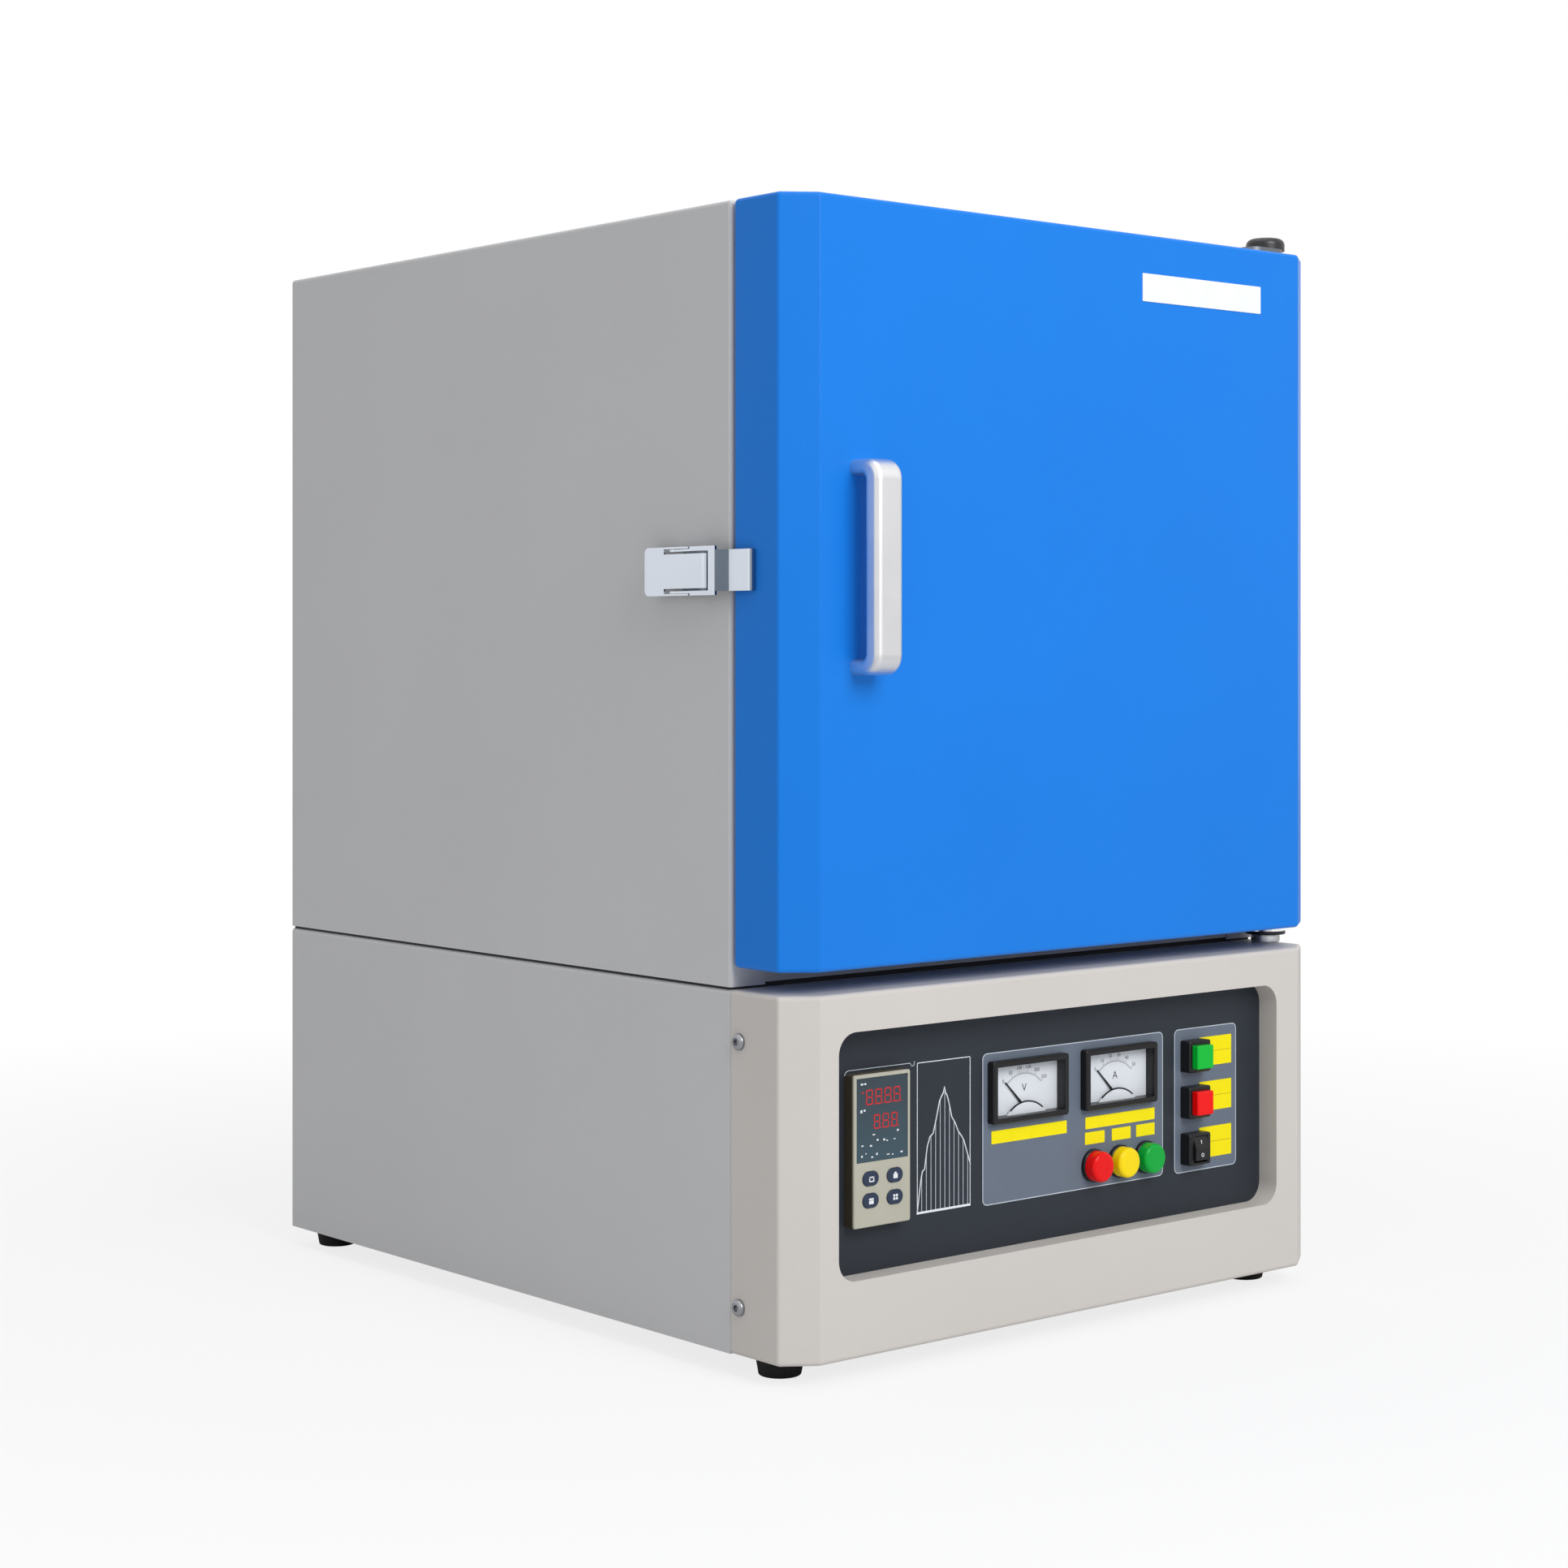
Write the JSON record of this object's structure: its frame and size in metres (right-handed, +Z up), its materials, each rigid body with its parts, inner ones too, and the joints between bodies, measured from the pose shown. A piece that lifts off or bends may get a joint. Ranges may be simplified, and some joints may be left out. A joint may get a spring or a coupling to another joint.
{
  "type": "box muffle furnace",
  "caption": "Bench muffle furnace: square casing, side-hung blue door with bow handle and draw latch, lower case with recessed control panel, meters, lamps and rubber feet.",
  "frame": {"origin": "below the middle of the whole furnace, on the surface that its feet stand on", "axes": "+Z up, +X to the right seen from the front, +Y to the rear, so the door faces -Y"},
  "size_m": [0.512, 0.64, 0.7541],
  "materials": {
    "casing_grey": "satin light grey paint",
    "inner_steel": "zinc-plated sheet",
    "door_blue": "satin blue paint",
    "panel_slate": "dark slate print",
    "screw_steel": "bright plated steel",
    "foot_rubber": "black rubber",
    "gland_black": "black nylon",
    "fibre_white": "white fibre board",
    "mouth_ceramic": "dense white refractory",
    "hearth_ceramic": "fired clay tile",
    "element_dark": "glazed dark heating rod",
    "clamp_mixed": "soft aluminium",
    "sheath": "alumina tube",
    "core_steel": "varnished laminations",
    "contactor_body": "light moulding",
    "hinge_steel": "satin steel",
    "hinge_bright": "bright steel with dark washer and cap",
    "latch_steel": "satin plated steel",
    "brass": "turned brass",
    "handle_aluminium": "satin aluminium",
    "gasket": "braided ceramic rope",
    "instrument_black": "black moulding",
    "champagne": "champagne film",
    "display_teal": "dark tinted window",
    "key_navy": "navy rubber",
    "dial_white": "white dial print",
    "needle_black": "black paint",
    "clear": "clear window",
    "lens_red": "glossy red lens",
    "lens_yellow": "glossy yellow lens",
    "lens_green": "glossy green lens",
    "button_green": "green moulding",
    "button_red": "red moulding"
  },
  "bodies": {
    "cabinet": {"lower_shell": "casing_grey", "base_pan": "inner_steel", "lower_rear_panel": "casing_grey", "front_bezel": "casing_grey", "control_panel": "panel_slate", "case_screws": "screw_steel", "feet": "foot_rubber", "cable_gland": "gland_black", "upper_shell": "casing_grey", "upper_front_frame": "casing_grey", "upper_rear_cover": "casing_grey", "upper_base_plate": "inner_steel", "chamber_floor": "fibre_white", "chamber_roof": "fibre_white", "chamber_walls": "fibre_white", "mouth_collar": "mouth_ceramic", "backing_boards": "fibre_white", "hearth_plate": "hearth_ceramic", "heating_elements": "element_dark", "element_clamps": "clamp_mixed", "thermocouple": "sheath", "transformer": "core_steel", "power_regulator": "clamp_mixed", "contactor": "contactor_body", "fan_frame": "gland_black", "upper_hinge_bracket": "hinge_steel", "hinge_pins": "hinge_bright", "latch_base": "latch_steel", "controller_case": "instrument_black", "controller_front": "champagne", "controller_window": "display_teal", "meter_cases": "instrument_black", "meter_dials": "dial_white", "meter_windows": "clear", "lamp_bases": "instrument_black", "lamp_lens_red": "lens_red", "lamp_lens_yellow": "lens_yellow", "lamp_lens_green": "lens_green", "switch_bases": "instrument_black"},
    "door": {"door_shell": "door_blue", "door_back_plate": "inner_steel", "door_insulation": "fibre_white", "door_plug": "mouth_ceramic", "door_gasket": "gasket", "door_handle": "handle_aluminium", "hinge_blocks": "hinge_steel", "latch_keeper": "latch_steel"},
    "latch_lever": {"latch_lever": "latch_steel", "latch_link_pins": "brass"},
    "latch_hook": {"latch_hook": "latch_steel"},
    "green_button": {"green_button": "button_green"},
    "red_button": {"red_button": "button_red"},
    "power_rocker": {"power_rocker": "instrument_black"},
    "voltmeter_needle": {"voltmeter_needle": "needle_black"},
    "ammeter_needle": {"ammeter_needle": "needle_black"},
    "fan_rotor": {"fan_rotor": "gland_black"},
    "controller_key_1": {"controller_key_1": "key_navy"},
    "controller_key_2": {"controller_key_2": "key_navy"},
    "controller_key_3": {"controller_key_3": "key_navy"},
    "controller_key_4": {"controller_key_4": "key_navy"}
  },
  "joints": [
    {"name": "door_hinge", "type": "hinge", "parent": "cabinet", "child": "door", "pos_m": [0.2415, -0.252, 0.2563], "axis": [0, 0, 1], "range_deg": [0, 120]},
    {"name": "latch_lever_hinge", "type": "hinge", "parent": "cabinet", "child": "latch_lever", "pos_m": [-0.2525, -0.216, 0.505], "axis": [0, 0, 1], "range_deg": [0, 105]},
    {"name": "latch_hook_hinge", "type": "hinge", "parent": "latch_lever", "child": "latch_hook", "pos_m": [-0.251, -0.183, 0.505], "axis": [0, 0, 1], "range_deg": [-105, 0]},
    {"name": "green_button_slide", "type": "slide", "parent": "cabinet", "child": "green_button", "axis": [0, 1, 0], "range_m": [0, 0.004], "stiffness_N_per_m": 300, "springref_m": -0.003},
    {"name": "red_button_slide", "type": "slide", "parent": "cabinet", "child": "red_button", "axis": [0, 1, 0], "range_m": [0, 0.004], "stiffness_N_per_m": 300, "springref_m": -0.003},
    {"name": "power_rocker_hinge", "type": "hinge", "parent": "cabinet", "child": "power_rocker", "pos_m": [0.1322, -0.2835, 0.1075], "axis": [1, 0, 0], "range_deg": [0, 16]},
    {"name": "fan_spin", "type": "hinge", "parent": "cabinet", "child": "fan_rotor", "pos_m": [-0.1255, 0.284, 0.132], "axis": [0, 1, 0], "continuous": true},
    {"name": "controller_key_1_slide", "type": "slide", "parent": "cabinet", "child": "controller_key_1", "axis": [0, 1, 0], "range_m": [0, 0.0008], "stiffness_N_per_m": 400, "springref_m": -0.001},
    {"name": "controller_key_2_slide", "type": "slide", "parent": "cabinet", "child": "controller_key_2", "axis": [0, 1, 0], "range_m": [0, 0.0008], "stiffness_N_per_m": 400, "springref_m": -0.001},
    {"name": "controller_key_3_slide", "type": "slide", "parent": "cabinet", "child": "controller_key_3", "axis": [0, 1, 0], "range_m": [0, 0.0008], "stiffness_N_per_m": 400, "springref_m": -0.001},
    {"name": "controller_key_4_slide", "type": "slide", "parent": "cabinet", "child": "controller_key_4", "axis": [0, 1, 0], "range_m": [0, 0.0008], "stiffness_N_per_m": 400, "springref_m": -0.001},
    {"name": "voltmeter_needle_hinge", "type": "hinge", "parent": "cabinet", "child": "voltmeter_needle", "pos_m": [-0.0302, -0.276, 0.1523], "axis": [0, 1, 0], "range_deg": [0, 90], "stiffness_Nm_per_rad": 0.0002, "springref_deg": -11.46},
    {"name": "ammeter_needle_hinge", "type": "hinge", "parent": "cabinet", "child": "ammeter_needle", "pos_m": [0.0569, -0.276, 0.1523], "axis": [0, 1, 0], "range_deg": [0, 90], "stiffness_Nm_per_rad": 0.0002, "springref_deg": -11.46}
  ],
  "couplings": [
    {"joint": "latch_hook_hinge", "follows": "latch_lever_hinge", "ratio": -1}
  ]
}
